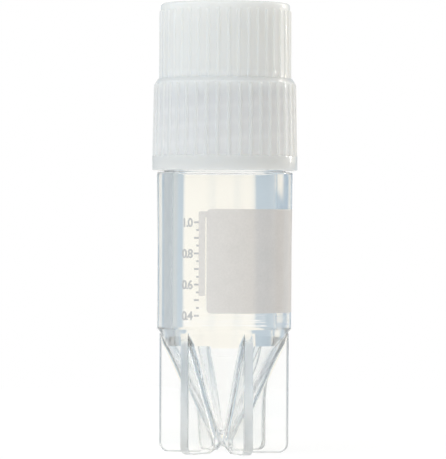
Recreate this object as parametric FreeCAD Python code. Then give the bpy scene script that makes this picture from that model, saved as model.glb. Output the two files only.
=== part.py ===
import FreeCAD, Part
import math
import os

# Cryogenic storage vial, 1 ml, outside thread, free-standing on a star foot.
# Millimetres. +Z is up the vial, the origin is on its axis in the plane of the foot.

ORIGIN = FreeCAD.Vector(0, 0, 0)
UP = FreeCAD.Vector(0, 0, 1)

# Vial: tube, conical bottom, neck
TUBE_R_TOP = 6.225          # outside radius at the shoulder
TUBE_R_BOTTOM = 6.14        # outside radius above the foot, straight where a rack holds it
TUBE_Z_BOTTOM = 11.35
LAND_TOP_Z = 19.00          # end of the straight stretch, the draft starts here
SHOULDER_Z = 25.65
NECK_R = 5.50               # root of the outside thread
NECK_TOP_Z = 33.00
BORE_R = 4.76
CONE_LOW = (1.62, 1.86)     # radius and height of a point low on the cone
CONE_SLOPE = 0.44           # growth of its radius with height
CONE_FLARE_Z = 8.68         # here the cone starts to flare out to the tube wall
FLARE_SLOPE = 0.565
INNER_CORNER_Z = 9.95       # the bore turns into the inner cone at a crisp corner
INNER_SLOPE = 0.54
INNER_TIP_Z = 2.05
INNER_TIP_R = 0.50
RIM_R = 0.20
GATE_R = 0.42               # moulding gate left in the middle of the foot
GATE_Z = 0.72
HUB_Z = 0.98                # underside of the hub where the fins meet

# Star foot
FINS = 6
FIN_T = 0.88
FIN_R = 5.93
FIN_ROOT_R = 0.36           # fillet where a fin grows out of the cone
HUB_FILLET_R = 0.45         # fillet between neighbouring fins at the hub
ROOT_START_Z = 0.95         # the root fillets start inside the hub
FIN_CORNER_R = 0.85
FOOT_INNER_R = 2.60         # the fins stand on the plane from here outwards

# Cap
CAP_BOTTOM_Z = 25.80
CAP_TOP_Z = 41.10
SKIRT_R_BOTTOM = 6.66
SKIRT_R_TOP = 6.54
STEP_Z_BOTTOM = 33.60
STEP_Z_TOP = 34.20
GRIP_R_BOTTOM = 6.15
GRIP_R_TOP = 6.07
BAND_Z = 27.10              # plain band below the skirt's ribs
RIB_TOP_Z = 40.50
RIBS = 40
RIB_H = 0.15
RIB_W_ROOT = 0.40
RIB_W_CREST = 0.18
RIB_PHASE = 1.4             # degrees from +X to the first rib
SKIRT_BORE_R = 5.95
SEAT_R = 5.42               # pocket that holds the gasket under the deck
DECK_BOTTOM_Z = 33.80
DECK_TOP_Z = 34.90
RECESS_R = 4.75             # seat of the colour-code disc
RECESS_DEPTH = 1.60
CORE_R = 4.05

# Gasket
GASKET_R_IN = 4.35
GASKET_R_OUT = 5.36
GASKET_Z = (33.02, 33.79)


def turned(points, start=0):
    """Solid of revolution about Z. Points are (radius, height); a third item marks a point on an arc.

    start is the angle from +X where the seam lies."""
    edges = []
    at = 0
    while at < len(points) - 1:
        a = FreeCAD.Vector(points[at][0], 0, points[at][1])
        if len(points[at + 1]) == 3:
            via = FreeCAD.Vector(points[at + 1][0], 0, points[at + 1][1])
            b = FreeCAD.Vector(points[at + 2][0], 0, points[at + 2][1])
            edges.append(Part.Arc(a, via, b).toShape())
            at += 2
        else:
            b = FreeCAD.Vector(points[at + 1][0], 0, points[at + 1][1])
            edges.append(Part.makeLine(a, b))
            at += 1
    first = FreeCAD.Vector(points[0][0], 0, points[0][1])
    last = FreeCAD.Vector(points[-1][0], 0, points[-1][1])
    if not first.isEqual(last, 1e-7):
        edges.append(Part.makeLine(last, first))
    solid = Part.Face(Part.Wire(edges)).revolve(ORIGIN, UP, 360)
    return solid.rotated(ORIGIN, UP, start)


def rounded(before, corner, after, radius):
    """Arc that rounds a corner of a profile: start point, point on the arc, end point."""
    a = FreeCAD.Vector(before[0] - corner[0], before[1] - corner[1], 0).normalize()
    b = FreeCAD.Vector(after[0] - corner[0], after[1] - corner[1], 0).normalize()
    half = a.getAngle(b) / 2
    run = radius / math.tan(half)
    middle = (a + b).normalize() * (radius / math.sin(half) - radius)
    c = FreeCAD.Vector(corner[0], corner[1], 0)
    start, via, end = c + a * run, c + middle, c + b * run
    return [(start.x, start.y), (via.x, via.y, "arc"), (end.x, end.y)]


def eased(before, corner, after, radius):
    """Small edge break of a profile: the rounded corner taken as two narrow flats."""
    return [point[:2] for point in rounded(before, corner, after, radius)]


def cone_radius(z):
    """Radius of the conical bottom at a height, its flare taken as a second straight cone."""
    flare = max(0.0, z - CONE_FLARE_Z)
    return CONE_LOW[0] + (z - CONE_LOW[1]) * CONE_SLOPE + flare * (FLARE_SLOPE - CONE_SLOPE)


def cone_outside():
    """Outside of the conical bottom, flaring out to a sharp corner at the tube wall."""
    point = (0, CONE_LOW[1] - CONE_LOW[0] / CONE_SLOPE)
    top_z = TUBE_Z_BOTTOM + 0.5
    return turned([point, (cone_radius(CONE_FLARE_Z), CONE_FLARE_Z), (cone_radius(top_z), top_z),
                   (0, top_z)], start=180)


def inside():
    """Space inside the vial: bore, cone and round tip, all made by one core pin."""
    tip = (BORE_R - (INNER_CORNER_Z - INNER_TIP_Z) * INNER_SLOPE, INNER_TIP_Z)
    corner = (BORE_R, INNER_CORNER_Z)
    return turned([(0, INNER_TIP_Z), *eased((0, INNER_TIP_Z), tip, corner, INNER_TIP_R), corner,
                   (BORE_R, NECK_TOP_Z - RIM_R), (BORE_R + RIM_R, NECK_TOP_Z),
                   (BORE_R + RIM_R, NECK_TOP_Z + 1), (0, NECK_TOP_Z + 1)])


def root_fillet():
    """Hollow strip that fills the corner between the cone and one fin face of a pocket on +X."""
    half = math.radians(180 / FINS)
    offset = (FIN_T / 2 + FIN_ROOT_R) / math.sin(half)
    sections = []
    for z in (ROOT_START_Z, 4.2, CONE_FLARE_Z, TUBE_Z_BOTTOM + 0.4):
        reach = cone_radius(z) + FIN_ROOT_R
        along = math.sqrt(reach ** 2 - (offset * math.sin(half)) ** 2) - offset * math.cos(half)
        centre = FreeCAD.Vector(offset + along * math.cos(half), along * math.sin(half), z)
        to_fin = FreeCAD.Vector(-math.sin(half), math.cos(half), 0)
        to_cone = FreeCAD.Vector(-centre.x, -centre.y, 0).normalize()
        inward = (to_fin + to_cone).normalize()
        centre = centre + inward * 0.006
        on_fin, on_cone = centre + to_fin * FIN_ROOT_R, centre + to_cone * FIN_ROOT_R
        arc = Part.Arc(on_fin, centre + inward * FIN_ROOT_R, on_cone).toShape()
        corner = centre + inward * FIN_ROOT_R * 1.9
        sections.append(Part.Wire([arc, Part.makeLine(on_cone, on_cone + to_cone * 0.1),
                                   Part.makeLine(on_cone + to_cone * 0.1, corner),
                                   Part.makeLine(corner, on_fin + to_fin * 0.1),
                                   Part.makeLine(on_fin + to_fin * 0.1, on_fin)]))
    return Part.makeLoft(sections, True, True)


def foot_pocket():
    """One of the six hollows of the star foot, on +X: flat fin faces, cone wall, filleted roots."""
    half = math.radians(180 / FINS)
    apex, reach = FIN_T / 2 / math.sin(half), 9
    corners = [FreeCAD.Vector(apex, 0, -1),
               FreeCAD.Vector(apex + reach * math.cos(half), reach * math.sin(half), -1),
               FreeCAD.Vector(apex + reach * math.cos(half), -reach * math.sin(half), -1)]
    wedge = Part.Face(Part.makePolygon(corners + corners[:1])).extrude(
        FreeCAD.Vector(0, 0, TUBE_Z_BOTTOM + 1.3))
    crotch = [edge for edge in wedge.Edges if edge.BoundBox.XMax < apex + 0.01]
    fillet = root_fillet()
    return wedge.makeFillet(HUB_FILLET_R, crotch).cut(
        [cone_outside(), fillet, fillet.mirror(ORIGIN, FreeCAD.Vector(0, 1, 0))])


def vial():
    """The whole vial is one clear moulding."""
    fin_top = (FIN_R, TUBE_Z_BOTTOM - (TUBE_R_BOTTOM - FIN_R) / FLARE_SLOPE + 0.02)
    body = turned([
        (0, GATE_Z), (GATE_R, GATE_Z), (GATE_R + 0.1, HUB_Z),
        *rounded((GATE_R + 0.1, HUB_Z), (FOOT_INNER_R, 0), (FIN_R, 0), 0.4),
        *rounded((FOOT_INNER_R, 0), (FIN_R, 0), fin_top, FIN_CORNER_R), fin_top,
        (TUBE_R_BOTTOM, TUBE_Z_BOTTOM + 0.02), (TUBE_R_BOTTOM, LAND_TOP_Z),
        (TUBE_R_TOP, SHOULDER_Z - 0.12), (TUBE_R_TOP - 0.1, SHOULDER_Z), (NECK_R, SHOULDER_Z),
        (NECK_R, NECK_TOP_Z - RIM_R), (NECK_R - RIM_R, NECK_TOP_Z), (0, NECK_TOP_Z)], start=15)
    pocket = foot_pocket()
    for number in range(FINS):
        turn = 360 / FINS * (number + 0.5)
        body = body.cut(pocket.rotated(ORIGIN, UP, turn))
    return body.cut(inside()).removeSplitter()


def rib(foot, foot_z, crest, crest_z, top_slope):
    """Slim rib on +X: crest leaning with the draft of its tier, top end sloping in to the wall."""
    def section(radius, z, slope):
        root = radius - RIB_H - 0.2
        rise = (RIB_H + 0.2) * slope
        points = [FreeCAD.Vector(root, -RIB_W_ROOT / 2 - 0.15, z + rise),
                  FreeCAD.Vector(radius, -RIB_W_CREST / 2, z),
                  FreeCAD.Vector(radius, RIB_W_CREST / 2, z),
                  FreeCAD.Vector(root, RIB_W_ROOT / 2 + 0.15, z + rise)]
        return Part.makePolygon(points + points[:1])
    return Part.makeLoft([section(foot, foot_z, 0), section(crest, crest_z, top_slope)], True, True)


def screw_cap():
    """Two ribbed tiers over a plain band; open recess on top, gasket seat and skirt bore below."""
    slope = (STEP_Z_TOP - STEP_Z_BOTTOM) / (SKIRT_R_TOP - GRIP_R_BOTTOM)
    skirt_in, grip_in = SKIRT_R_TOP - RIB_H, GRIP_R_TOP - RIB_H
    ledge_z = STEP_Z_BOTTOM + RIB_H * slope
    band, top = (SKIRT_R_BOTTOM, BAND_Z), (grip_in, CAP_TOP_Z)
    body = turned([
        (0, CAP_BOTTOM_Z), (SKIRT_R_BOTTOM - 0.1, CAP_BOTTOM_Z), (SKIRT_R_BOTTOM, CAP_BOTTOM_Z + 0.1),
        band, (SKIRT_R_BOTTOM - RIB_H, BAND_Z + 0.06), (skirt_in, ledge_z),
        (GRIP_R_BOTTOM, STEP_Z_TOP), (GRIP_R_BOTTOM - RIB_H, STEP_Z_TOP),
        *eased((GRIP_R_BOTTOM - RIB_H, STEP_Z_TOP), top, (0, CAP_TOP_Z), 0.28), (0, CAP_TOP_Z)])
    skirt_rib = rib(SKIRT_R_BOTTOM - 0.02, BAND_Z - 0.1, SKIRT_R_TOP, STEP_Z_BOTTOM - 0.03, slope)
    grip_rib = rib(GRIP_R_BOTTOM - 0.02, STEP_Z_TOP - 0.1, GRIP_R_TOP, RIB_TOP_Z - 0.2, 1.2)
    ribs = []
    for number in range(RIBS):
        turn = RIB_PHASE + 360 / RIBS * number
        for one in (skirt_rib, grip_rib):
            ribs.append(one.rotated(ORIGIN, UP, turn))
    hollow = turned([
        (0, CAP_BOTTOM_Z - 1), (SKIRT_BORE_R + 0.12, CAP_BOTTOM_Z - 1),
        (SKIRT_BORE_R + 0.12, CAP_BOTTOM_Z), (SKIRT_BORE_R, CAP_BOTTOM_Z + 0.25),
        (SKIRT_BORE_R, NECK_TOP_Z - 0.25), (SEAT_R, NECK_TOP_Z + 0.1),
        (SEAT_R, DECK_BOTTOM_Z), (0, DECK_BOTTOM_Z)])
    recess = turned([
        (0, DECK_TOP_Z), (CORE_R, DECK_TOP_Z), (CORE_R, CAP_TOP_Z - RECESS_DEPTH),
        (RECESS_R, CAP_TOP_Z - RECESS_DEPTH), (RECESS_R, CAP_TOP_Z - 0.2),
        (RECESS_R + 0.2, CAP_TOP_Z), (RECESS_R + 0.2, CAP_TOP_Z + 1), (0, CAP_TOP_Z + 1)])
    return body.fuse(ribs).cut(hollow).cut(recess).removeSplitter()


def sealing_gasket():
    """Flat silicone ring squeezed between the deck and the rim."""
    low, high = GASKET_Z
    return turned([(GASKET_R_IN, low), (GASKET_R_OUT, low), (GASKET_R_OUT, high),
                   (GASKET_R_IN, high)])


os.makedirs("parts", exist_ok=True)
for name, make in (("vial", vial), ("screw_cap", screw_cap), ("sealing_gasket", sealing_gasket)):
    shape = make()
    shape.exportStep("parts/" + name + ".step")
    box = shape.BoundBox
    print(name, shape.ShapeType, len(shape.Solids), shape.isValid(), round(shape.Volume, 1), "mm3",
          [round(v, 2) for v in (box.XLength, box.YLength, box.ZMin, box.ZMax)])
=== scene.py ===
import bmesh
import bpy
import math
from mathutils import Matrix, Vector


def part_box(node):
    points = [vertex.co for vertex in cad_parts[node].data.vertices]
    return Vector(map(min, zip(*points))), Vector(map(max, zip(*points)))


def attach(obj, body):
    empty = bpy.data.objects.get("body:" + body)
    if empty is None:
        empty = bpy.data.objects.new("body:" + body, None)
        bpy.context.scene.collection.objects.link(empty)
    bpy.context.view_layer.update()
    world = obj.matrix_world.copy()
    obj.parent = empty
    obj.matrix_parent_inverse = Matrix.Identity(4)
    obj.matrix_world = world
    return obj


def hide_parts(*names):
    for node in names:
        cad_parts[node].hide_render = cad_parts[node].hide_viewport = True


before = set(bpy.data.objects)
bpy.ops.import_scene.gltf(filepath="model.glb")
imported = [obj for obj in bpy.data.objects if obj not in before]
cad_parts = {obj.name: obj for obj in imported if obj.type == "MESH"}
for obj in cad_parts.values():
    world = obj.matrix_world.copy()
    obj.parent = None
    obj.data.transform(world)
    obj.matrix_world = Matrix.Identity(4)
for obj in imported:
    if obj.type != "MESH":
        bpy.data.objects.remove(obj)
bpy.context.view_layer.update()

# ---------------------------------------------------------------- vial
# Clear polypropylene moulding: tube, conical bottom and six-finned star foot in one piece.
# It is injected through a gate in the middle of the foot, round a polished core pin, so the
# walls are smooth, with only faint flow marks and, low on the tube, the mould's turning marks.

# Lengths of the pieces are in millimetres, those of the studio in metres.
MM = 0.001
FINS = 6
FIN_HALF = 0.44
FIN_R = 5.93
FIN_EDGE_R = 0.08
FIN_CORNER_R = 0.85
FIN_STOP = 0.012
FOOT_INNER_R = 2.60
HUB_R = 1.33
HUB_Z = 0.98
PRISM_TOP_Z = 1.20
HUB_FILLET_R = 0.45
ROOT_FILLET_R = 0.36
HUB_FILLET_FADE = 1.8
HUB_RINGS = (1.15, 0.95, 0.78, 0.65)
GATE_R = 0.42
GATE_EDGE = 0.1
GATE_Z = 0.72
CONE_LOW = (1.62, 1.86)
CONE_SLOPE = 0.44
FLARE_SLOPE = 0.565
FLARE_Z = 8.68
FLARE_HALF = 1.2
TUBE_Z = 11.35
TUBE_R = 6.14
LAND_TOP_Z = 19.0
SHOULDER_R = 6.225
SHOULDER_Z = 25.65
SHOULDER_ROUND_R = 0.15
NECK_FILLET_R = 0.2
NECK_R = 5.50
NECK_TOP_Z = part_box("vial")[1].z / MM
RIM_R = 0.20
BORE_R = 4.76
INNER_CORNER_Z = 9.95
INNER_SLOPE = 0.54
INNER_TIP_R = 0.62
THREAD_LEAD = 3.0
THREAD_STARTS = 2
THREAD_HALF = 0.40
THREAD_FLANK = 0.24
THREAD_RUN_OUT = 0.6
NECK_THREAD_Z = (26.5, 32.7)
NECK_RING_Z = [26.1 + 0.1 * k for k in range(67)]
NECK_THREAD_H = 0.34

ARC_STEPS, EDGE_STEPS, FILLET_STEPS, CONE_STEPS = 3, 4, 8, 10
FIN_RINGS = 80


def smooth(value):
    """Eases 0 to 1, held outside that range."""
    value = min(1.0, max(0.0, value))
    return value * value * (3 - 2 * value)


def arc(centre, radius, start, end, steps):
    """Points of an arc in degrees, both ends included."""
    turns = [math.radians(start + (end - start) * k / steps) for k in range(steps + 1)]
    return [(centre[0] + radius * math.cos(t), centre[1] + radius * math.sin(t)) for t in turns]


def round_axis(radius, degrees, z):
    """The point at a radius, a bearing and a height."""
    t = math.radians(degrees)
    return (radius * math.cos(t), radius * math.sin(t), z)


def patch(bm, rows, closed=False):
    """Quads between rows of points in millimetres."""
    grid = [[bm.verts.new(Vector(point) * MM) for point in row] for row in rows]
    for low, high in zip(grid, grid[1:]):
        for k in range(len(low) if closed else len(low) - 1):
            after = (k + 1) % len(low)
            bm.faces.new((low[k], low[after], high[after], high[k]))


def placed(name, data):
    """New object of the scene, at the origin."""
    thing = bpy.data.objects.new(name, data)
    bpy.context.scene.collection.objects.link(thing)
    return thing


def finished(bm, name, sharp_deg=32):
    """Merges the patches into one closed mesh with outward normals and crisp real edges."""
    bmesh.ops.remove_doubles(bm, verts=bm.verts, dist=2e-7)
    bmesh.ops.dissolve_degenerate(bm, edges=bm.edges, dist=1e-7)
    bmesh.ops.recalc_face_normals(bm, faces=bm.faces)
    mesh = bpy.data.meshes.new(name)
    bm.to_mesh(mesh)
    bm.free()
    mesh.shade_smooth()
    mesh.set_sharp_from_angle(angle=math.radians(sharp_deg))
    return placed(name, mesh)


def cone_radius(z):
    """Outside of the conical bottom, flaring gently towards the tube."""
    straight = CONE_LOW[0] + (z - CONE_LOW[1]) * CONE_SLOPE
    into = min(max(z - FLARE_Z + FLARE_HALF, 0), 2 * FLARE_HALF)
    beyond = max(z - FLARE_Z - FLARE_HALF, 0)
    return straight + (FLARE_SLOPE - CONE_SLOPE) * (into * into / (4 * FLARE_HALF) + beyond)


def tube_radius(z):
    """Outside of the tube, straight where a rack holds it and drafted above."""
    return TUBE_R + (SHOULDER_R - TUBE_R) * max(z - LAND_TOP_Z, 0) / (SHOULDER_Z - LAND_TOP_Z)


def underside(r):
    """Height of the foot's underside: gate, hub, dish, flat and rounded outer corner."""
    if r <= GATE_R:
        return GATE_Z
    if r < FOOT_INNER_R:
        slope = HUB_Z * (FOOT_INNER_R - r) / (FOOT_INNER_R - GATE_R - GATE_EDGE)
        return min(slope, GATE_Z + (HUB_Z - GATE_Z) * (r - GATE_R) / GATE_EDGE)
    past = max(r - FIN_R + FIN_CORNER_R, 0)
    return FIN_CORNER_R - math.sqrt(max(FIN_CORNER_R ** 2 - past ** 2, 0))


# Stations along the side of a fin, close together where its lower corner is rounded.
corner_turns = [math.radians(65 - 13 * k) for k in range(6)]
side_radii = [FIN_R - FIN_CORNER_R + FIN_CORNER_R * math.sin(t) for t in corner_turns]
side_radii += [4.4, 3.7, 3.1, FOOT_INNER_R]
root_x_low = math.sqrt((HUB_R + HUB_FILLET_R) ** 2 - (FIN_HALF + HUB_FILLET_R) ** 2)


def half_outline(z):
    """Section of the foot from the middle of a fin to half way to the next, as (x, y)."""
    wall = max(cone_radius(z), HUB_R)
    proud = FIN_R - wall
    fillet = HUB_FILLET_R + (ROOT_FILLET_R - HUB_FILLET_R) * smooth(
        (z - PRISM_TOP_Z) / HUB_FILLET_FADE)
    fillet = min(fillet, 0.6 * proud, wall - 2 * FIN_HALF)
    edge = min(FIN_EDGE_R, 0.2 * proud)
    edge_x = math.sqrt((FIN_R - edge) ** 2 - (FIN_HALF - edge) ** 2)
    edge_deg = math.degrees(math.atan2(FIN_HALF - edge, edge_x))
    root_x = math.sqrt((wall + fillet) ** 2 - (FIN_HALF + fillet) ** 2)
    root_deg = math.degrees(math.atan2(FIN_HALF + fillet, root_x))
    share = [(side_radii[0] - r) / (side_radii[0] - root_x_low) for r in side_radii[1:]]
    points = arc((0, 0), FIN_R, 0, edge_deg, ARC_STEPS)
    points += arc((edge_x, FIN_HALF - edge), edge, edge_deg, 90, EDGE_STEPS)[1:]
    points += [(edge_x + (root_x - edge_x) * s, FIN_HALF) for s in share]
    points += arc((root_x, FIN_HALF + fillet), fillet, -90, root_deg - 180, FILLET_STEPS)
    points += arc((0, 0), wall, root_deg, 180 / FINS, CONE_STEPS)[1:]
    return points


half_count = len(half_outline(1.0)) - 1


def turned_point(point, degrees):
    """A point of the section, turned about the axis."""
    t = math.radians(degrees)
    return (point[0] * math.cos(t) - point[1] * math.sin(t),
            point[0] * math.sin(t) + point[1] * math.cos(t))


def foot_ring(z):
    """The whole star at one height, fin by fin, counter-clockwise."""
    half = half_outline(z)
    sector = [(x, -y) for x, y in half[:0:-1]] + half[:-1]
    ring = []
    for fin in range(FINS):
        ring += [turned_point(p, fin * 360 / FINS) for p in sector]
    return ring


def even_degrees(k):
    """Bearing of a ring's point when all are evenly spaced."""
    return (k - half_count) * 180 / FINS / half_count


def circle_ring(radius, z, evenness=1.0):
    """A circle with as many points as the star, whose spacing runs from the star's to even."""
    points = []
    for k, degrees in enumerate(star_degrees):
        bearing = degrees + (even_degrees(k) - degrees) * evenness
        points.append(round_axis(radius, bearing, z))
    return points


def ridge(degrees, z, low, high, shift):
    """Share of full height of a right-handed thread, run out at both ends."""
    pitch = THREAD_LEAD / THREAD_STARTS
    along = (z - shift - THREAD_LEAD * degrees / 360) % pitch
    off = min(along, pitch - along)
    run_out = smooth((z - low) / THREAD_RUN_OUT) * smooth((high - z) / THREAD_RUN_OUT)
    return smooth((THREAD_HALF - off) / THREAD_FLANK) * run_out


def neck_ring(z):
    """One ring of the threaded neck."""
    points = []
    for k in range(len(star_degrees)):
        degrees = even_degrees(k)
        r = NECK_R + NECK_THREAD_H * ridge(degrees, z, *NECK_THREAD_Z, 0)
        points.append(round_axis(r, degrees, z))
    return points


def fin_underside(fin):
    """Rows across one fin's foot, from its outer edge in to the hub."""
    half = half_outline(1.0)
    across = ARC_STEPS + EDGE_STEPS
    outer = half[:across + 1]
    outer = [(x, -y) for x, y in outer[:0:-1]] + outer
    end_deg = math.atan2(half[across][1], half[across][0])
    share = [math.atan2(y, x) / end_deg for x, y in outer]
    rows = [outer]
    for x, y in half[across + 1:]:
        radius, reach = math.hypot(x, y), math.atan2(y, x)
        rows.append([(radius * math.cos(reach * s), radius * math.sin(reach * s)) for s in share])
    out = []
    for row in rows:
        moved = [turned_point(p, fin * 360 / FINS) for p in row]
        out.append([(x, y, underside(math.hypot(x, y))) for x, y in moved])
    return out


bm = bmesh.new()
hub_row = []
for fin in range(FINS):
    rows = fin_underside(fin)
    patch(bm, rows)
    hub_row += rows[-1][:-1]
hub_rings = [hub_row]
for r in (*HUB_RINGS, GATE_R + GATE_EDGE, GATE_R, 0.2, 0.0):
    share = r / HUB_R
    hub_rings.append([(x * share, y * share, underside(r)) for x, y, z in hub_row])
patch(bm, hub_rings, closed=True)

low_ring = foot_ring(1.0)
outer = []
for share in (0, 0.35, 0.7, 1):
    outer.append([(x, y, underside(math.hypot(x, y)) * (1 - share) + PRISM_TOP_Z * share)
                  for x, y in low_ring])
fin_top = TUBE_Z - (cone_radius(TUBE_Z) - FIN_R) / FLARE_SLOPE
fin_rise = fin_top - FIN_STOP - PRISM_TOP_Z
heights = [PRISM_TOP_Z + fin_rise * k / FIN_RINGS for k in range(1, FIN_RINGS + 1)]
for z in heights:
    outer.append([(x, y, z) for x, y in foot_ring(z)])

# Where the flare swallows the fins the star becomes a circle, and its points spread evenly.
star_degrees = []
for k, (x, y, z) in enumerate(outer[-1]):
    turn = math.degrees(math.atan2(y, x))
    star_degrees.append(turn + 360 * round((even_degrees(k) - turn) / 360))
for share in (0.15, 0.4, 0.7, 1):
    z = fin_top + (TUBE_Z - fin_top) * share
    outer.append(circle_ring(FIN_R + (TUBE_R - FIN_R) * share, z, share * 0.6))
outer += [circle_ring(TUBE_R, TUBE_Z + 0.5, 0.8), circle_ring(TUBE_R, TUBE_Z + 1.2)]
outer += [circle_ring(TUBE_R, z) for z in (14.0, 16.5)]
outer += [circle_ring(tube_radius(z), z) for z in (18.8, LAND_TOP_Z, 19.2, 21, 23, 25, 25.5)]
outer += [circle_ring(r, z) for r, z in
          arc((SHOULDER_R - SHOULDER_ROUND_R, SHOULDER_Z - SHOULDER_ROUND_R),
              SHOULDER_ROUND_R, 0, 90, 4)]
outer += [circle_ring(r, z) for r, z in
          arc((NECK_R + NECK_FILLET_R, SHOULDER_Z + NECK_FILLET_R), NECK_FILLET_R, 270, 180, 4)]
outer += [neck_ring(z) for z in NECK_RING_Z]
outer += [circle_ring(r, z) for r, z in
          arc((NECK_R - RIM_R, NECK_TOP_Z - RIM_R), RIM_R, 0, 90, 4)]
inner = [circle_ring(r, z) for r, z in
         arc((BORE_R + RIM_R, NECK_TOP_Z - RIM_R), RIM_R, 90, 180, 4)]
inner += [circle_ring(BORE_R, z) for z in (28, 23, 18, 14, 11.5)]
inner += [circle_ring(BORE_R - (INNER_CORNER_Z - z) * INNER_SLOPE, z)
          for z in (INNER_CORNER_Z, 9, 7.5, 6, 4.5, 3.4)]
tilt = math.degrees(math.atan(INNER_SLOPE))
tip_z = INNER_CORNER_Z - (BORE_R - INNER_TIP_R / math.cos(math.radians(tilt))) / INNER_SLOPE
inner += [circle_ring(max(r, 0.0), z) for r, z in
          arc((0, tip_z), INNER_TIP_R, -tilt, -90, 6)]
patch(bm, outer + inner, closed=True)
vial = finished(bm, "vial_moulding", sharp_deg=25)


def shader_group(name, inputs, outputs):
    """Empty node group with its sockets; inputs are (name, value)."""
    group = bpy.data.node_groups.new(name, "ShaderNodeTree")
    for label, value in inputs:
        socket = group.interface.new_socket(label, in_out="INPUT", socket_type="NodeSocketFloat")
        socket.default_value = value
    for label, kind in outputs:
        group.interface.new_socket(label, in_out="OUTPUT", socket_type=kind)
    return group


def add(tree, kind, **settings):
    """New node of a tree with its plain settings."""
    node = tree.nodes.new(kind)
    for key, value in settings.items():
        setattr(node, key, value)
    return node


def maths(tree, operation, a, b=None, c=None):
    """Math node fed by sockets or numbers."""
    node = add(tree, "ShaderNodeMath", operation=operation)
    for slot, value in enumerate((a, b, c)):
        if value is None:
            continue
        if isinstance(value, (int, float)):
            node.inputs[slot].default_value = value
        else:
            tree.links.new(value, node.inputs[slot])
    return node.outputs[0]


def product(tree, first, *others):
    """Product of sockets or numbers."""
    for other in others:
        first = maths(tree, "MULTIPLY", first, other)
    return first


def hypotenuse(tree, a, b):
    """Root of the sum of two squares."""
    return maths(tree, "SQRT", maths(tree, "ADD", maths(tree, "POWER", a, 2.0),
                                     maths(tree, "POWER", b, 2.0)))


def object_axes(tree):
    """X, Y and Z of the object's coordinates, and the distance out from its axis."""
    axes = add(tree, "ShaderNodeSeparateXYZ")
    tree.links.new(add(tree, "ShaderNodeTexCoord").outputs["Object"], axes.inputs["Vector"])
    x, y, z = axes.outputs
    return x, y, z, hypotenuse(tree, x, y)


def noise(tree, vector, scale, detail):
    """Noise over a vector socket."""
    node = add(tree, "ShaderNodeTexNoise")
    node.inputs["Scale"].default_value = scale
    node.inputs["Detail"].default_value = detail
    tree.links.new(vector, node.inputs["Vector"])
    return node


def emboss(tree, body, height, depth):
    """Bump of a depth in metres, over any that the surface has already."""
    bump = add(tree, "ShaderNodeBump")
    bump.inputs["Distance"].default_value = depth
    tree.links.new(height, bump.inputs["Height"])
    for link in list(body.inputs["Normal"].links):
        tree.links.new(link.from_socket, bump.inputs["Normal"])
    tree.links.new(bump.outputs["Normal"], body.inputs["Normal"])


def blend_colour(tree, share, first, second):
    """Mix of two colours, each a socket or an (r, g, b)."""
    node = add(tree, "ShaderNodeMix", data_type="RGBA")
    tree.links.new(share, node.inputs["Factor"])
    for socket, value in ((node.inputs[6], first), (node.inputs[7], second)):
        if isinstance(value, tuple):
            socket.default_value = (*value, 1)
        else:
            tree.links.new(value, socket)
    return node.outputs[2]


moulding = shader_group("moulding_marks", [("Flow", 1.0), ("Grain", 1.0)],
                        [("Height", "NodeSocketFloat"), ("Mottle", "NodeSocketFloat")])
ins = add(moulding, "NodeGroupInput")
outs = add(moulding, "NodeGroupOutput")
place = add(moulding, "ShaderNodeTexCoord")
drawn = add(moulding, "ShaderNodeMapping")
drawn.inputs["Scale"].default_value = (1, 1, 0.18)
moulding.links.new(place.outputs["Object"], drawn.inputs["Vector"])
flow = noise(moulding, drawn.outputs["Vector"], scale=260, detail=3)
grain = noise(moulding, place.outputs["Object"], scale=5200, detail=2)
height = product(moulding, flow.outputs["Fac"], ins.outputs["Flow"])
fine = product(moulding, grain.outputs["Fac"], ins.outputs["Grain"])
moulding.links.new(maths(moulding, "ADD", height, fine), outs.inputs["Height"])
moulding.links.new(flow.outputs["Fac"], outs.inputs["Mottle"])


def material(name):
    """New node material: its tree, Principled node and output."""
    mat = bpy.data.materials.new(name)
    mat.use_nodes = True
    tree = mat.node_tree
    return mat, tree, tree.nodes["Principled BSDF"], tree.nodes["Material Output"]


def marks(tree, body, flow_share, grain_share, depth, rough_low, rough_high):
    """Places the moulding marks in a material: bump and a gloss that varies with the flow."""
    group = add(tree, "ShaderNodeGroup", node_tree=moulding)
    group.inputs["Flow"].default_value = flow_share
    group.inputs["Grain"].default_value = grain_share
    emboss(tree, body, group.outputs["Height"], depth)
    gloss = add(tree, "ShaderNodeMapRange")
    gloss.inputs["To Min"].default_value = rough_low
    gloss.inputs["To Max"].default_value = rough_high
    tree.links.new(group.outputs["Mottle"], gloss.inputs["Value"])
    tree.links.new(gloss.outputs["Result"], body.inputs["Roughness"])
    return group


def eased_step(tree, value, low, high):
    """0 at low, 1 at high, eased between; low may be the larger."""
    node = add(tree, "ShaderNodeMapRange", interpolation_type="SMOOTHSTEP")
    node.inputs["From Min"].default_value = low
    node.inputs["From Max"].default_value = high
    tree.links.new(value, node.inputs["Value"])
    return node.outputs["Result"]


def step_mm(tree, value, low, high):
    """eased_step between two lengths in millimetres."""
    return eased_step(tree, value, low * MM, high * MM)


CLEAR_TINTS = ((1.0, 0.998, 0.985), (0.99, 0.989, 0.978))
HUB_TINT = (0.978, 0.976, 0.964)
# Painted shade for the fins' satin faces and for their grazing edges.
PAINTED_FACE_SHADES = ((0.67, 0.73, 0.77), (0.90, 0.90, 0.885))
PAINTED_GRAZING_SHADE = (0.10, 0.12, 0.13)
# Painted shade in the root fillets.
PAINTED_ROOT_SHADES = ((0.76, 0.81, 0.84), (0.95, 0.935, 0.91))
# Painted shade along the fins' edge radius.
PAINTED_LINE_SHADES = ((0.42, 0.44, 0.45), (0.70, 0.71, 0.71))
FACE_ROUGHNESS = 0.40
ROOT_ROUGHNESS = 0.20

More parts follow.
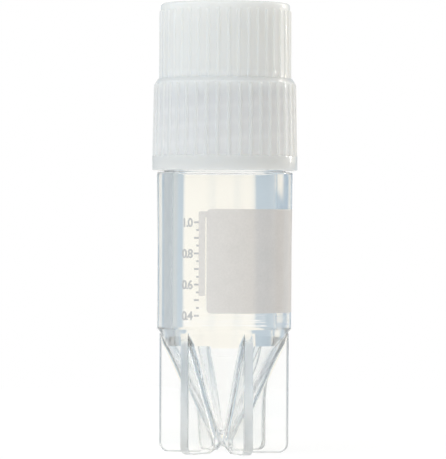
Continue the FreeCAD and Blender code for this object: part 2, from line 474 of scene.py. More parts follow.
clear_pp, tree, body, end = material("clear_polypropylene")
group = marks(tree, body, flow_share=1.0, grain_share=0.03, depth=0.000005,
              rough_low=0.0, rough_high=0.04)
body.inputs["IOR"].default_value = 1.49
body.inputs["Transmission Weight"].default_value = 0.96
x, y, z, out = object_axes(tree)
facing = add(tree, "ShaderNodeSeparateXYZ")
tree.links.new(add(tree, "ShaderNodeNewGeometry").outputs["True Normal"],
               facing.inputs["Vector"])
upright = maths(tree, "ABSOLUTE", facing.outputs["Z"])
outward = maths(tree, "ADD", product(tree, facing.outputs["X"], x),
                product(tree, facing.outputs["Y"], y))
outward = maths(tree, "ABSOLUTE", maths(tree, "DIVIDE", outward, out))
below_tube = step_mm(tree, z, 11.0, 9.8)

# Satin: the outer face and the rounded lower corner of each fin, rougher and with painted shade.
corner = product(tree, step_mm(tree, out, 5.10, 5.20), eased_step(tree, upright, 0.04, 0.10),
                 step_mm(tree, z, 1.0, 0.9))
satin_and_painted_shade = maths(tree, "MAXIMUM", step_mm(tree, out, 5.80, 5.88), corner)
satin_and_painted_shade = product(tree, satin_and_painted_shade, below_tube)

# Painted shade: grey-blue in the root fillets between the fins and the cone, which are also
# rougher.
root = product(tree, eased_step(tree, outward, 0.10, 0.30), eased_step(tree, outward, 0.86, 0.74),
               step_mm(tree, out, 5.8, 5.6), eased_step(tree, upright, 0.60, 0.45),
               step_mm(tree, z, 1.0, 1.6), step_mm(tree, z, 10.8, 10.0))

# Painted shade: a darker line on the small edge radius all round the sides of a fin.
past = maths(tree, "MAXIMUM", maths(tree, "SUBTRACT", out, (FIN_R - FIN_CORNER_R) * MM), 0.0)
under = maths(tree, "MAXIMUM", maths(tree, "SUBTRACT", FIN_CORNER_R * MM, z), 0.0)
inset = maths(tree, "SUBTRACT", FIN_CORNER_R * MM, hypotenuse(tree, past, under))
line = product(tree, step_mm(tree, inset, 0.15, 0.07), eased_step(tree, outward, 0.6, 0.3),
               eased_step(tree, upright, 0.6, 0.3), below_tube)

# Haze: the thick hub inside the foot is a little milky.
haze = product(tree, step_mm(tree, out, 4.6, 3.8), step_mm(tree, z, 10.0, 9.0))

# Turning marks of the mould, in fine rings low on the tube.
squash = add(tree, "ShaderNodeMapping")
squash.inputs["Scale"].default_value = (0.02, 0.02, 1.0)
tree.links.new(add(tree, "ShaderNodeTexCoord").outputs["Object"], squash.inputs["Vector"])
turned_rings = noise(tree, squash.outputs["Vector"], scale=3600, detail=2)
turned_rings = product(tree, turned_rings.outputs["Fac"], step_mm(tree, z, 14.2, 12.5),
                       step_mm(tree, z, 9.4, 9.8))
emboss(tree, body, turned_rings, 0.000005)

gloss = body.inputs["Roughness"].links[0].from_socket
gloss = maths(tree, "MULTIPLY_ADD", satin_and_painted_shade, FACE_ROUGHNESS, gloss)
gloss = maths(tree, "MULTIPLY_ADD", root, ROOT_ROUGHNESS, gloss)
tree.links.new(gloss, body.inputs["Roughness"])

slant = add(tree, "ShaderNodeLayerWeight")
slant.inputs["Blend"].default_value = 0.5
# Painted shade on the satin faces: blue-grey, paler towards the floor as painted bounce light,
# and near black at grazing angles as a painted dark outline.
painted_face_shade = blend_colour(tree, step_mm(tree, z, 6.2, 0.4), *PAINTED_FACE_SHADES)
painted_face_shade = blend_colour(tree, maths(tree, "POWER", slant.outputs["Facing"], 4.0),
                    painted_face_shade, PAINTED_GRAZING_SHADE)
tint = blend_colour(tree, group.outputs["Mottle"], *CLEAR_TINTS)
tint = blend_colour(tree, haze, tint, HUB_TINT)
tint = blend_colour(tree, satin_and_painted_shade, tint, painted_face_shade)
# Painted shade in the root fillets, paler towards the bottom.
tint = blend_colour(tree, root, tint,
                    blend_colour(tree, step_mm(tree, z, 4.5, 2.0), *PAINTED_ROOT_SHADES))
# Painted shade along the fins' edge radius, paler at the very bottom.
tint = blend_colour(tree, line, tint,
                    blend_colour(tree, step_mm(tree, z, 0.9, 0.2), *PAINTED_LINE_SHADES))
tree.links.new(tint, body.inputs["Base Color"])

# Lamps shine through it; the shadow it casts is only faintly tinted.
path = add(tree, "ShaderNodeLightPath")
see = add(tree, "ShaderNodeBsdfTransparent")
see.inputs["Color"].default_value = (0.93, 0.94, 0.95, 1)
mix = add(tree, "ShaderNodeMixShader")
tree.links.new(path.outputs["Is Shadow Ray"], mix.inputs[0])
tree.links.new(body.outputs[0], mix.inputs[1])
tree.links.new(see.outputs[0], mix.inputs[2])
tree.links.new(mix.outputs[0], end.inputs["Surface"])

vial.data.materials.append(clear_pp)
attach(vial, "vial")
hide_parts("vial")

# ---------------------------------------------------------------- print
# Writing patch, side strip and graduations, screen printed on the tube in milky white and pale
# grey epoxy ink and oven cured. The film is thin enough that the light behind shows through.

INK_H = 0.022
INK_SINK = 0.006
PATCH_DEG = (-97.6, 7.0)
PATCH_Z = (12.85, 22.28)
PATCH_CORNER_R = 0.42
STRIP_DEG = (-104.6, -99.0)
STRIP_Z = (14.43, 22.06)
STRIP_CORNER_R = 0.10
BRIDGE_Z = 21.51
SCALE_DEG = -104.4
SCALE_LOW_Z = 12.64
SCALE_STEP = 1.405
SCALE_TICKS = 7
TICK_LONG, TICK_SHORT, TICK_LINE = 0.48, 0.27, 0.17
NUMERAL_H = 0.80
NUMERAL_GAP = 0.12
CAPITAL_SHARE = 0.72
SCALE_FIRST, SCALE_GAIN = 0.4, 0.1


def on_tube(along, z, lift):
    """Bends a flat point of the artwork on to the tube; along is the arc length from +X."""
    r, t = tube_radius(z) + lift, along / TUBE_R
    return Vector((r * math.cos(t), r * math.sin(t), z)) * MM


def film(bm, rows):
    """Closed film of ink over flat rows of (arc length, height)."""
    skins = []
    for lift in (INK_H, -INK_SINK):
        skins.append([[bm.verts.new(on_tube(x, z, lift)) for x, z in row] for row in rows])
    for low, high in zip(range(len(rows) - 1), range(1, len(rows))):
        for k in range(len(rows[0]) - 1):
            for skin in skins:
                bm.faces.new((skin[low][k], skin[low][k + 1], skin[high][k + 1], skin[high][k]))
    width, height = len(rows[0]), len(rows)
    rim = [(0, k) for k in range(width)] + [(j, -1) for j in range(1, height)]
    rim += [(-1, -1 - k) for k in range(1, width)] + [(-1 - j, 0) for j in range(1, height)]
    for (j, k), (m, n) in zip(rim, rim[1:]):
        bm.faces.new((skins[0][j][k], skins[0][m][n], skins[1][m][n], skins[1][j][k]))


def rounded_box(low_x, high_x, low_z, high_z, corner, across):
    """Flat rows that fill a rectangle with rounded corners."""
    rows = []
    bends = [corner * (1 - math.cos(math.radians(15 * k))) for k in range(7)]
    inner = [low_z + corner + (high_z - low_z - 2 * corner) * k / 12 for k in range(1, 12)]
    for z in [low_z + b for b in bends] + inner + [high_z - b for b in reversed(bends)]:
        near = min(z - low_z, high_z - z, corner)
        inset = corner - math.sqrt(max(corner ** 2 - (corner - near) ** 2, 0))
        rows.append([(low_x + inset + (high_x - low_x - 2 * inset) * k / across, z)
                     for k in range(across + 1)])
    return rows


def arc_length(degrees):
    """Distance round the tube from +X."""
    return math.radians(degrees) * TUBE_R


patch_x = [arc_length(degrees) for degrees in PATCH_DEG]
strip_x = [arc_length(degrees) for degrees in STRIP_DEG]
bm = bmesh.new()
film(bm, rounded_box(*patch_x, *PATCH_Z, PATCH_CORNER_R, 64))
film(bm, rounded_box(*strip_x, *STRIP_Z, STRIP_CORNER_R, 6))
film(bm, rounded_box(strip_x[1] - 0.02, patch_x[0] + 0.1, BRIDGE_Z, STRIP_Z[1], 0.02, 2))
patch_print = finished(bm, "writing_patch")

ticks_tree = bpy.data.node_groups.new("graduation_ticks", "GeometryNodeTree")
ticks_tree.interface.new_socket("Geometry", in_out="OUTPUT",
                                socket_type="NodeSocketGeometry")
tick_inputs = {}
for label, kind in (("Ticks", "Int"), ("Spacing", "Float"), ("Long", "Float"), ("Short", "Float"),
                    ("Line", "Float"), ("Ink", "Float"), ("Material", "Material")):
    socket = ticks_tree.interface.new_socket(label, in_out="INPUT",
                                             socket_type="NodeSocket" + kind)
    tick_inputs[label] = socket.identifier
tick_ins = add(ticks_tree, "NodeGroupInput").outputs


def tick_row(count, first, length):
    """Column of flat plates of ink, right ends in line, one Spacing apart."""
    size = add(ticks_tree, "ShaderNodeCombineXYZ")
    start = add(ticks_tree, "ShaderNodeCombineXYZ")
    step = add(ticks_tree, "ShaderNodeCombineXYZ")
    ticks_tree.links.new(length, size.inputs["X"])
    ticks_tree.links.new(tick_ins["Line"], size.inputs["Y"])
    ticks_tree.links.new(tick_ins["Ink"], size.inputs["Z"])
    ticks_tree.links.new(product(ticks_tree, length, -0.5), start.inputs["X"])
    ticks_tree.links.new(product(ticks_tree, tick_ins["Spacing"], first), start.inputs["Y"])
    ticks_tree.links.new(tick_ins["Spacing"], step.inputs["Y"])
    plate = add(ticks_tree, "GeometryNodeMeshCube")
    plate.inputs["Vertices X"].default_value = 5
    ticks_tree.links.new(size.outputs[0], plate.inputs["Size"])
    line = add(ticks_tree, "GeometryNodeMeshLine", mode="OFFSET")
    ticks_tree.links.new(count, line.inputs["Count"])
    ticks_tree.links.new(start.outputs[0], line.inputs["Start Location"])
    ticks_tree.links.new(step.outputs[0], line.inputs["Offset"])
    stamp = add(ticks_tree, "GeometryNodeInstanceOnPoints")
    ticks_tree.links.new(line.outputs["Mesh"], stamp.inputs["Points"])
    ticks_tree.links.new(plate.outputs["Mesh"], stamp.inputs["Instance"])
    return stamp.outputs["Instances"]


both = add(ticks_tree, "GeometryNodeJoinGeometry")
fewer = maths(ticks_tree, "SUBTRACT", tick_ins["Ticks"], 1)
ticks_tree.links.new(tick_row(tick_ins["Ticks"], 0.0, tick_ins["Long"]), both.inputs[0])
ticks_tree.links.new(tick_row(fewer, 0.5, tick_ins["Short"]), both.inputs[0])
real = add(ticks_tree, "GeometryNodeRealizeInstances")
inked = add(ticks_tree, "GeometryNodeSetMaterial")
ticks_tree.links.new(both.outputs[0], real.inputs[0])
ticks_tree.links.new(real.outputs[0], inked.inputs["Geometry"])
ticks_tree.links.new(tick_ins["Material"], inked.inputs["Material"])
ticks_tree.links.new(inked.outputs[0], add(ticks_tree, "NodeGroupOutput").inputs[0])

print_grain = shader_group("print_grain", [("Scale", 1000.0)], [("Density", "NodeSocketFloat")])
ins = add(print_grain, "NodeGroupInput")
outs = add(print_grain, "NodeGroupOutput")
place = add(print_grain, "ShaderNodeTexCoord")
specks = noise(print_grain, place.outputs["Object"], scale=1000, detail=4)
specks.inputs["Roughness"].default_value = 0.7
print_grain.links.new(ins.outputs["Scale"], specks.inputs["Scale"])
cloud = noise(print_grain, place.outputs["Object"], scale=420, detail=2)
print_grain.links.new(maths(print_grain, "MULTIPLY_ADD", specks.outputs["Fac"], 0.5,
                            product(print_grain, cloud.outputs["Fac"], 0.5)),
                      outs.inputs["Density"])


def ink(name, pale, thick, alpha):
    """Cured screen ink: a grainy film, duller and denser where it lies thicker."""
    mat, tree, body, end = material(name)
    group = add(tree, "ShaderNodeGroup", node_tree=print_grain)
    group.inputs["Scale"].default_value = 5200
    level = add(tree, "ShaderNodeMapRange")
    level.inputs["From Min"].default_value = 0.35
    level.inputs["From Max"].default_value = 0.65
    tree.links.new(group.outputs["Density"], level.inputs["Value"])
    share = level.outputs["Result"]
    tree.links.new(blend_colour(tree, share, pale, thick), body.inputs["Base Color"])
    tree.links.new(maths(tree, "MULTIPLY_ADD", share, alpha[1] - alpha[0], alpha[0]),
                   body.inputs["Alpha"])
    tree.links.new(maths(tree, "MULTIPLY_ADD", share, 0.12, 0.5), body.inputs["Roughness"])
    emboss(tree, body, group.outputs["Density"], 0.00001)
    body.inputs["IOR"].default_value = 1.5
    return mat


patch_ink = ink("patch_ink", pale=(0.780, 0.744, 0.715), thick=(0.805, 0.768, 0.738),
                alpha=(0.57, 0.63))
scale_ink = ink("scale_ink", pale=(0.56, 0.555, 0.545), thick=(0.60, 0.595, 0.585),
                alpha=(0.72, 0.84))
patch_print.data.materials.append(patch_ink)
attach(patch_print, "vial")


def plain_mesh(holder):
    """What an object with modifiers or text comes to as a mesh; the object goes."""
    graph = bpy.context.evaluated_depsgraph_get()
    mesh = bpy.data.meshes.new_from_object(holder.evaluated_get(graph))
    bpy.data.objects.remove(holder)
    return mesh


holder = placed("ticks", bpy.data.meshes.new("ticks"))
row = holder.modifiers.new("ticks", "NODES")
row.node_group = ticks_tree
for label, value in (("Ticks", SCALE_TICKS), ("Spacing", SCALE_STEP), ("Long", TICK_LONG),
                     ("Short", TICK_SHORT), ("Line", TICK_LINE), ("Ink", INK_H + INK_SINK),
                     ("Material", scale_ink)):
    row[tick_inputs[label]] = value
flat = [(plain_mesh(holder), arc_length(SCALE_DEG), 0.0)]
for number in range(0, SCALE_TICKS, 2):
    words = bpy.data.curves.new("numeral", "FONT")
    words.body = "%.1f" % (SCALE_FIRST + SCALE_GAIN * number)
    words.size = NUMERAL_H / CAPITAL_SHARE
    words.align_x = "RIGHT"
    words.offset = 0.03
    words.space_character = 0.85
    words.extrude = (INK_H + INK_SINK) / 2
    words.resolution_u = 3
    flat.append((plain_mesh(placed("numeral", words)),
                 arc_length(SCALE_DEG) - TICK_LONG - NUMERAL_GAP,
                 number * SCALE_STEP - NUMERAL_H / 2))

bm = bmesh.new()
for mesh, shift, rise in flat:
    first = len(bm.verts)
    bm.from_mesh(mesh)
    bm.verts.ensure_lookup_table()
    for vert in bm.verts[first:]:
        x, z, lift = vert.co
        vert.co = on_tube(x + shift, z + rise + SCALE_LOW_Z, lift + (INK_H - INK_SINK) / 2)
scale_print = finished(bm, "volume_scale")
scale_print.data.materials.clear()
scale_print.data.materials.append(scale_ink)
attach(scale_print, "vial")

# ---------------------------------------------------------------- screw cap
# White polypropylene closure, unscrewed from its mould. Forty slim grip ribs run up the wide
# skirt and again up the narrow grip above the step; the top is open for a colour-code disc,
# and faint slanting bands of painted light lie over the thread inside the thin skirt.

BAND_R = 6.66
BAND_TOP_Z = 27.10
SKIRT_WALL = ((27.16, 6.51), (33.83, 6.39))
SKIRT_CREST_R = 6.54
STEP_Z = (33.60, 34.20)
STEP_RUN = 1.538
GRIP_FOOT_R = 6.15
GRIP_WALL = ((34.20, 6.00), (41.10, 5.92))
GRIP_CREST_R = 6.07
GRIP_RIB_Z = 40.30
GRIP_RUN = 1.2
RIBS = 40
RIB_PHASE = 1.4
RIB_HALF = (0.7, 1.9)
RIB_STATIONS = (0, 0.6, 0.95, 1.3, 1.7, 2.2, 3.3, 4.5)
CAP_BOTTOM_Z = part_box("screw_cap")[0].z / MM
CAP_TOP_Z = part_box("screw_cap")[1].z / MM
TOP_ROUND_R = 0.28
SKIRT_BORE_R = 5.95
SKIRT_THREAD_Z = (26.3, 32.5)
SKIRT_THREAD_H = 0.33
THREAD_GAP = THREAD_LEAD / THREAD_STARTS / 2
SEAT_R = 5.42
DECK_Z = (33.80, 34.90)
RECESS_R = 4.75
RECESS_Z = 39.50
CORE_R = 4.05

cap_turns = []
for number in range(RIBS):
    for station in [-a for a in RIB_STATIONS[-2:0:-1]] + list(RIB_STATIONS):
        share = smooth((RIB_HALF[1] - abs(station)) / (RIB_HALF[1] - RIB_HALF[0]))
        cap_turns.append((RIB_PHASE + number * 360 / RIBS + station, share))


def wall_at(wall, z):
    """Radius of a drafted wall between its two (height, radius) ends."""
    (low_z, low_r), (high_z, high_r) = wall
    return low_r + (high_r - low_r) * (z - low_z) / (high_z - low_z)


def cap_ring(radius, z, rib=0.0, limit=99.0):
    """Ring of the cap: wall radius, ribs standing on it, all of it cut off at limit."""
    points = []
    for degrees, share in cap_turns:
        r = min(radius + rib * share, max(limit, radius))
        points.append(round_axis(r, degrees, z))
    return points


def skirt_thread_ring(z):
    """Ring of the female thread, which lies between the turns of the vial's."""
    points = []
    for degrees, share in cap_turns:
        r = SKIRT_BORE_R - SKIRT_THREAD_H * ridge(degrees, z, *SKIRT_THREAD_Z, THREAD_GAP)
        points.append(round_axis(r, degrees, z))
    return points


under = [(0.0, DECK_Z[0]), (2.0, DECK_Z[0]), (4.2, DECK_Z[0]), (SEAT_R - 0.03, DECK_Z[0]),
         (SEAT_R, DECK_Z[0] - 0.03), (SEAT_R, 33.13), (SEAT_R + 0.03, 33.07),
         (SKIRT_BORE_R, 32.75)]
rows = [cap_ring(r, z) for r, z in under]
rows += [skirt_thread_ring(32.7 - 0.15 * k) for k in range(44)]
rows += [cap_ring(r, z) for r, z in
         ((SKIRT_BORE_R, 26.05), (6.06, CAP_BOTTOM_Z + 0.02), (6.09, CAP_BOTTOM_Z),
          (BAND_R - 0.1, CAP_BOTTOM_Z), (BAND_R - 0.03, CAP_BOTTOM_Z + 0.03),
          (BAND_R, CAP_BOTTOM_Z + 0.1), (BAND_R, 26.5), (BAND_R, BAND_TOP_Z - 0.03))]
rows.append(cap_ring(BAND_R - 0.01, BAND_TOP_Z))
for z in (27.16, 27.19, 28.2, 30.0, 32.0, 33.2, 33.5, 33.57, 33.62, 33.7, 33.78, 33.83):
    wall = wall_at(SKIRT_WALL, z) + (0.03 if z < 27.17 else 0)
    rise = (z - BAND_TOP_Z) / (STEP_Z[0] - BAND_TOP_Z)
    crest = BAND_R - 0.01 + (SKIRT_CREST_R - BAND_R) * rise
    rows.append(cap_ring(wall, z, crest - wall, SKIRT_CREST_R - (z - STEP_Z[0]) / STEP_RUN))
rows += [cap_ring(SKIRT_CREST_R - (z - STEP_Z[0]) / STEP_RUN, z) for z in (33.86, 34.0, 34.16)]
rows += [cap_ring(GRIP_FOOT_R, STEP_Z[1] - 0.02), cap_ring(GRIP_FOOT_R - 0.02, STEP_Z[1])]
for z in (34.21, 34.24, 34.3, 35.5, 37.0, 38.5, 39.8, 40.2, GRIP_RIB_Z, 40.36, 40.42, 40.5):
    wall = wall_at(GRIP_WALL, z) + (0.03 if z < 34.22 else 0)
    rise = (z - STEP_Z[1]) / (GRIP_RIB_Z - STEP_Z[1])
    crest = GRIP_FOOT_R - 0.01 + (GRIP_CREST_R - GRIP_FOOT_R) * rise
    rows.append(cap_ring(wall, z, crest - wall, GRIP_CREST_R - max(z - GRIP_RIB_Z, 0) / GRIP_RUN))
rows += [cap_ring(wall_at(GRIP_WALL, z), z) for z in (40.6, 40.7)]
rows += [cap_ring(r, z) for r, z in
         arc((wall_at(GRIP_WALL, CAP_TOP_Z) - TOP_ROUND_R, CAP_TOP_Z - TOP_ROUND_R),
             TOP_ROUND_R, 0, 90, 5)]
rows += [cap_ring(r, z) for r, z in
         ((RECESS_R + 0.2, CAP_TOP_Z), (RECESS_R + 0.16, CAP_TOP_Z - 0.02),
          (RECESS_R, CAP_TOP_Z - 0.2), (RECESS_R, RECESS_Z + 0.05),
          (RECESS_R - 0.05, RECESS_Z), (CORE_R + 0.04, RECESS_Z),
          (CORE_R, RECESS_Z - 0.04), (CORE_R, DECK_Z[1] + 0.15), (CORE_R - 0.15, DECK_Z[1]),
          (2.5, DECK_Z[1]), (1.2, DECK_Z[1]), (0.0, DECK_Z[1]))]
bm = bmesh.new()
patch(bm, rows, closed=True)
cap = finished(bm, "ribbed_cap", sharp_deg=36)

GRIP_TINTS = ((0.755, 0.76, 0.745), (0.775, 0.78, 0.765))
# Painted light: the skirt paler than the grip, offsetting the shade its thin wall renders with.
PAINTED_SKIRT_LIGHT = (0.80, 0.794, 0.776)
# Painted light of the thread bands.
PAINTED_BAND_LIGHT = (0.825, 0.819, 0.80)
# Painted light in the corner above the step.
PAINTED_CORNER_LIGHT = (0.83, 0.835, 0.82)
# Painted shade on the rib crests, lower and upper tier.
PAINTED_CREST_SHADES = ((0.68, 0.685, 0.67), (0.73, 0.735, 0.72))

white_pp, tree, body, end = material("white_polypropylene")
group = marks(tree, body, flow_share=1.0, grain_share=0.12, depth=0.000012,
              rough_low=0.34, rough_high=0.46)
body.inputs["IOR"].default_value = 1.49
body.inputs["Specular IOR Level"].default_value = 0.3
body.inputs["Coat Weight"].default_value = 0.5
body.inputs["Coat Roughness"].default_value = 0.05
body.inputs["Subsurface Weight"].default_value = 1.0
body.inputs["Subsurface Radius"].default_value = (1.0, 0.95, 0.88)
body.inputs["Subsurface Scale"].default_value = 0.0018
x, y, z, out = object_axes(tree)

# Thread bands: painted light, paler slanting bands where the thread inside thickens the wall.
turn = maths(tree, "ARCTAN2", y, x)
climb = maths(tree, "MULTIPLY_ADD", turn, -THREAD_LEAD * MM / math.tau, z)
climb = maths(tree, "SUBTRACT", climb, THREAD_GAP * MM)
wave = product(tree, climb, math.tau / (THREAD_LEAD / THREAD_STARTS * MM))
painted_band = maths(tree, "MULTIPLY_ADD", maths(tree, "COSINE", wave), 0.5, 0.5)
threaded = product(tree, step_mm(tree, z, 26.2, 27.2), step_mm(tree, z, 33.0, 32.2))
painted_band = product(tree, maths(tree, "POWER", painted_band, 3.0), threaded)
tint = blend_colour(tree, group.outputs["Mottle"], *GRIP_TINTS)
# Painted light: the threaded skirt is made paler than the grip.
tint = blend_colour(tree, threaded, tint, PAINTED_SKIRT_LIGHT)
tint = blend_colour(tree, painted_band, tint, PAINTED_BAND_LIGHT)

# Painted light: the corner above the step is made paler, so the shade in it doesn't go dark.
painted_corner_light = product(tree, step_mm(tree, z, 35.1, 34.3),
               maths(tree, "GREATER_THAN", z, (STEP_Z[1] - 0.01) * MM))
tint = blend_colour(tree, painted_corner_light, tint, PAINTED_CORNER_LIGHT)

# Painted shade on the rib crests, by how far the surface stands out from the drafted wall of its
# tier.
tier_walls = []
for (low_z, low_r), (high_z, high_r) in (SKIRT_WALL, GRIP_WALL):
    lean = (high_r - low_r) / (high_z - low_z)
    tier_walls.append(maths(tree, "MULTIPLY_ADD", z, lean, (low_r - lean * low_z) * MM))
upper = maths(tree, "GREATER_THAN", z, (STEP_Z[0] + STEP_Z[1]) / 2 * MM)
tier = maths(tree, "MULTIPLY_ADD", maths(tree, "SUBTRACT", tier_walls[1], tier_walls[0]), upper,
             tier_walls[0])
crest = step_mm(tree, maths(tree, "SUBTRACT", out, tier), 0.02, 0.12)
# Painted shade: the crests darker than the wall between them.
tint = blend_colour(tree, crest, tint, blend_colour(tree, upper, *PAINTED_CREST_SHADES))
tree.links.new(tint, body.inputs["Base Color"])

cap.data.materials.append(white_pp)
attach(cap, "cap")
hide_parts("screw_cap")

# ---------------------------------------------------------------- gasket
# Flat silicone ring pressed between the deck of the cap and the rim of the vial. It is punched
# from milky sheet, so it is matt, with the fine grain of the sheet's press cloth.

SHEET_TINTS = ((0.80, 0.79, 0.76), (0.85, 0.845, 0.82))

silicone, tree, body, end = material("milky_silicone")
group = marks(tree, body, flow_share=0.2, grain_share=1.0, depth=0.00001,
              rough_low=0.45, rough_high=0.60)
body.inputs["IOR"].default_value = 1.41
body.inputs["Subsurface Weight"].default_value = 0.5
body.inputs["Subsurface Radius"].default_value = (1.0, 0.9, 0.8)
body.inputs["Subsurface Scale"].default_value = 0.0008
tree.links.new(blend_colour(tree, group.outputs["Mottle"], *SHEET_TINTS),
               body.inputs["Base Color"])
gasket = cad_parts["sealing_gasket"]
gasket.data.materials.clear()
gasket.data.materials.append(silicone)

# ---------------------------------------------------------------- studio
# White floor and background. What the clear plastic and the gloss show of the room is a white
# wall straight behind, pale grey-blue to both sides and one bright window on the right.

CAMERA_AZIMUTH = 7.5
PALE = (0.92, 0.915, 0.89)
COOL = (0.42, 0.53, 0.63)
GREY = (0.48, 0.535, 0.57)
WALL = (1.0, 0.968, 0.885)
CEILING = (0.97, 0.975, 0.98)
WINDOW = (1.0, 0.96, 0.86)
WHITE = (1.0, 1.0, 1.0)
BLACK = (0.0, 0.0, 0.0)
FLOOR_R = 0.12
FLOOR_Z = -0.00002
FLOOR_GREY = (0.34, 0.34, 0.34)
FLOOR_GLOW = 0.72
FLOOR_SETBACK = 0.040
SINE_30 = 0.5
DAYLIGHT = (1.0, 0.985, 0.945)
DAYLIGHT_STRENGTH = 0.68

room = shader_group("room", [("Setback", 0.0)], [("Color", "NodeSocketColor")])
room.interface.new_socket("Direction", in_out="INPUT", socket_type="NodeSocketVector")
ins = add(room, "NodeGroupInput")
outs = add(room, "NodeGroupOutput")
turn = add(room, "ShaderNodeVectorRotate", rotation_type="Z_AXIS")
turn.inputs["Angle"].default_value = math.radians(-CAMERA_AZIMUTH)
room.links.new(ins.outputs["Direction"], turn.inputs["Vector"])
axes = add(room, "ShaderNodeSeparateXYZ")
room.links.new(turn.outputs["Vector"], axes.inputs["Vector"])
behind = maths(room, "ADD", axes.outputs["Y"], ins.outputs["Setback"])
around = maths(room, "ARCTAN2", axes.outputs["X"], behind)
around = maths(room, "MULTIPLY_ADD", around, 0.5 / math.pi, 0.5)
rise = product(room, maths(room, "ARCSINE", axes.outputs["Z"]), 180 / math.pi)


def round_the_room(stops):
    """Colour by compass direction; stops are (degrees to the right of straight back, colour)."""
    ramp = add(room, "ShaderNodeValToRGB")
    ramp.color_ramp.elements.remove(ramp.color_ramp.elements[1])
    for k, (degrees, colour) in enumerate(stops):
        at = (degrees + 180) / 360
        stop = ramp.color_ramp.elements[0] if k == 0 else ramp.color_ramp.elements.new(at)
        stop.position = at
        stop.color = (*colour, 1)
    room.links.new(around, ramp.inputs["Fac"])
    return ramp.outputs["Color"]


def between(low, high):
    """0 at the first height in degrees, 1 at the second."""
    return eased_step(room, rise, low, high)


far = [(-180, PALE), (-165, PALE), (-160, COOL), (-150, COOL), (-145, PALE), (-75, PALE)]
left = [(-62, GREY), (-24, GREY), (-22, COOL), (-15.0, COOL)]
near = [(62, COOL), (75, PALE), (145, PALE), (150, COOL), (160, COOL), (165, PALE), (180, PALE)]
high = round_the_room(far + left + [(-13.5, WALL), (6.8, WALL), (8.2, COOL)] + near)
low = round_the_room(far + left + [(-13.5, WHITE), (13.5, WHITE), (15.5, COOL)] + near)
seen = blend_colour(room, between(-1.93, -1.87), low, high)

# The window is lit above a broad sill, and again in a low pane under it.
opening = round_the_room([(-180, BLACK), (31, BLACK), (36, WHITE), (53, WHITE), (58, BLACK)])
low_pane = product(room, between(-1.50, -1.60), between(-3.4, -2.8))
panes = maths(room, "ADD", between(1.22, 1.34), low_pane)
seen = blend_colour(room, product(room, opening, panes), seen, WINDOW)
seen = blend_colour(room, between(55, 80), seen, CEILING)
room.links.new(seen, outs.inputs["Color"])


def shown_by_plastic(tree, path):
    """1 for what gloss or clear plastic shows, 0 for what is seen or lit directly."""
    return maths(tree, "MAXIMUM", path.outputs["Is Glossy Ray"],
                 path.outputs["Is Transmission Ray"])


floor_mesh = bpy.data.meshes.new("floor")
bm = bmesh.new()
bmesh.ops.create_circle(bm, cap_ends=True, radius=FLOOR_R, segments=96)
bm.to_mesh(floor_mesh)
bm.free()
floor = placed("floor", floor_mesh)
floor.location.z = FLOOR_Z
floor_white, tree, body, end = material("floor_white")
body.inputs["Base Color"].default_value = (*FLOOR_GREY, 1)
body.inputs["Roughness"].default_value = 0.9
body.inputs["Specular IOR Level"].default_value = 0.0

# In gloss and through the vial, a spot of the floor has the colour that the room has in its
# direction from a point in front of the vial, 30 degrees down.
place = add(tree, "ShaderNodeTexCoord")
below = add(tree, "ShaderNodeVectorMath", operation="ADD")
below.inputs[1].default_value = (0, 0, -SINE_30)
tree.links.new(place.outputs["Object"], below.inputs[0])
group = add(tree, "ShaderNodeGroup", node_tree=room)
group.inputs["Setback"].default_value = FLOOR_SETBACK
tree.links.new(below.outputs["Vector"], group.inputs["Direction"])
path = add(tree, "ShaderNodeLightPath")
tree.links.new(blend_colour(tree, shown_by_plastic(tree, path), WHITE, group.outputs["Color"]),
               body.inputs["Emission Color"])
body.inputs["Emission Strength"].default_value = FLOOR_GLOW
floor_mesh.materials.append(floor_white)

# The camera sees plain white behind the vial, gloss and clear plastic see the room, and all
# else is lit by even daylight.
world = bpy.data.worlds.new("studio")
bpy.context.scene.world = world
world.use_nodes = True
tree = world.node_tree
tree.nodes.clear()
place = add(tree, "ShaderNodeTexCoord")
group = add(tree, "ShaderNodeGroup", node_tree=room)
tree.links.new(place.outputs["Generated"], group.inputs["Direction"])
path = add(tree, "ShaderNodeLightPath")
seen = add(tree, "ShaderNodeBackground")
tree.links.new(group.outputs["Color"], seen.inputs["Color"])
plain = add(tree, "ShaderNodeBackground")
plain.inputs["Color"].default_value = (*WHITE, 1)
soft = add(tree, "ShaderNodeBackground")
soft.inputs["Color"].default_value = (*DAYLIGHT, 1)
soft.inputs["Strength"].default_value = DAYLIGHT_STRENGTH
mix = add(tree, "ShaderNodeMixShader")
tree.links.new(shown_by_plastic(tree, path), mix.inputs[0])
tree.links.new(soft.outputs[0], mix.inputs[1])
tree.links.new(seen.outputs[0], mix.inputs[2])
top = add(tree, "ShaderNodeMixShader")
tree.links.new(path.outputs["Is Camera Ray"], top.inputs[0])
tree.links.new(mix.outputs[0], top.inputs[1])
tree.links.new(plain.outputs[0], top.inputs[2])
end = add(tree, "ShaderNodeOutputWorld")
tree.links.new(top.outputs[0], end.inputs["Surface"])


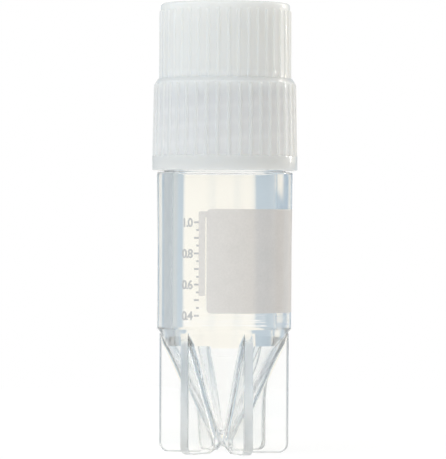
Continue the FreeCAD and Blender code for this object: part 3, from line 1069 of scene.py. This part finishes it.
def lamp(name, place, aim, size, watts, colour):
    """Soft area lamp that shines from place to aim."""
    light = bpy.data.lights.new(name, "AREA")
    light.shape = "RECTANGLE"
    light.size, light.size_y = size
    light.energy = watts
    light.color = colour
    thing = placed(name, light)
    thing.location = place
    thing.visible_transmission = False
    thing.rotation_euler = (aim - place).to_track_quat("-Z", "Y").to_euler()
    return thing


def studio_point(right, front, up):
    """A place in the studio, by the camera's own right and front."""
    azimuth = math.radians(CAMERA_AZIMUTH)
    to_right = Vector((math.cos(azimuth), math.sin(azimuth), 0))
    to_front = Vector((math.sin(azimuth), -math.cos(azimuth), 0))
    return to_right * right + to_front * front + Vector((0, 0, up))


# A broad cool lamp high on the left and a narrow warm one behind on the right.
STRIP_LAMP_Z = 0.172
key = lamp("key_left", studio_point(-0.31, 0.35, 0.26), studio_point(0, 0, 0.0205),
           size=(0.60, 0.60), watts=1.43, colour=(0.735, 0.865, 1.0))
key.visible_glossy = False
lamp("strip_right", studio_point(0.32, -0.25, STRIP_LAMP_Z), studio_point(0, 0, STRIP_LAMP_Z),
     size=(0.02, 0.28), watts=0.55, colour=(1.0, 0.96, 0.89))

# A long lens at about half the height of the vial.
EYE_DISTANCE = 0.330
EYE_Z = 0.022
AIM_Z = 0.0204
EYE_SIDE = -0.00014
EYE_ROLL = 0.25
FRAME_HEIGHT = 0.0421
SENSOR = 36.0
camera_data = bpy.data.cameras.new("camera")
camera_data.sensor_width = SENSOR
camera_data.lens = SENSOR * EYE_DISTANCE / FRAME_HEIGHT
camera_data.clip_start = 0.01
camera = placed("camera", camera_data)
camera.location = studio_point(EYE_SIDE, EYE_DISTANCE, EYE_Z)
look = studio_point(EYE_SIDE, 0, AIM_Z) - camera.location
camera.rotation_euler = look.to_track_quat("-Z", "Y").to_euler()
camera.rotation_euler.rotate_axis("Z", math.radians(EYE_ROLL))
bpy.context.scene.camera = camera
bpy.context.scene.view_settings.view_transform = "Standard"
bpy.context.scene.cycles.max_bounces = 32
bpy.context.scene.cycles.transmission_bounces = 32
bpy.context.scene.cycles.glossy_bounces = 32
